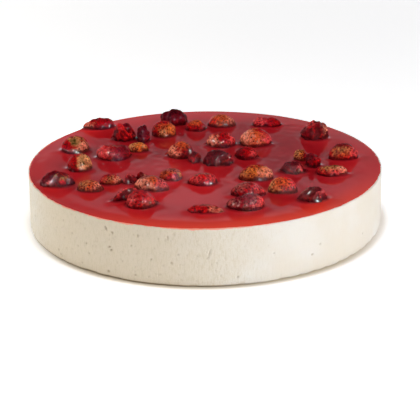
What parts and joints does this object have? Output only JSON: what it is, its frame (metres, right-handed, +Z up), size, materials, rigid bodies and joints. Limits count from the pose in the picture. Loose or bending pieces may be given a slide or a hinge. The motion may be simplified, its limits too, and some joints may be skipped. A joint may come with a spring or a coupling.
{
  "type": "cheesecake",
  "caption": "Whole round cheesecake with a pale cream body, a thin red jelly glaze and small wild strawberries half sunk in the jelly.",
  "frame": {"origin": "centre of the base, on the surface that the cake stands on", "axes": "+Z up, -Y towards the front of the cake as it is shown, +X to its right"},
  "size_m": [0.2601, 0.2601, 0.0545],
  "materials": {
    "cream": "pale set cream, matt and slightly pored",
    "glaze": "clear red jelly, wet gloss",
    "berry_ripe": "ripe red berry skin under a wet jelly coat",
    "berry_pale": "pale orange berry skin under a wet jelly coat",
    "berry_dark": "dark wine berry skin under a wet jelly coat"
  },
  "bodies": {
    "root": {"cream_body": "cream", "jelly_glaze": "glaze", "berry_01": "berry_ripe", "berry_02": "berry_ripe", "berry_03": "berry_pale", "berry_04": "berry_ripe", "berry_05": "berry_pale", "berry_06": "berry_ripe", "berry_07": "berry_ripe", "berry_08": "berry_ripe", "berry_09": "berry_dark", "berry_10": "berry_pale", "berry_11": "berry_pale", "berry_12": "berry_dark", "berry_13": "berry_ripe", "berry_14": "berry_pale", "berry_15": "berry_ripe", "berry_16": "berry_dark", "berry_17": "berry_ripe", "berry_18": "berry_pale", "berry_19": "berry_pale", "berry_20": "berry_ripe", "berry_21": "berry_dark", "berry_22": "berry_ripe", "berry_23": "berry_ripe", "berry_24": "berry_pale", "berry_25": "berry_ripe", "berry_26": "berry_ripe", "berry_27": "berry_pale", "berry_28": "berry_dark", "berry_29": "berry_pale", "berry_30": "berry_pale", "berry_31": "berry_pale", "berry_32": "berry_dark", "berry_33": "berry_dark", "berry_34": "berry_ripe", "berry_35": "berry_pale", "berry_36": "berry_ripe", "berry_37": "berry_ripe", "berry_38": "berry_ripe", "berry_39": "berry_dark", "berry_40": "berry_ripe"}
  },
  "joints": []
}
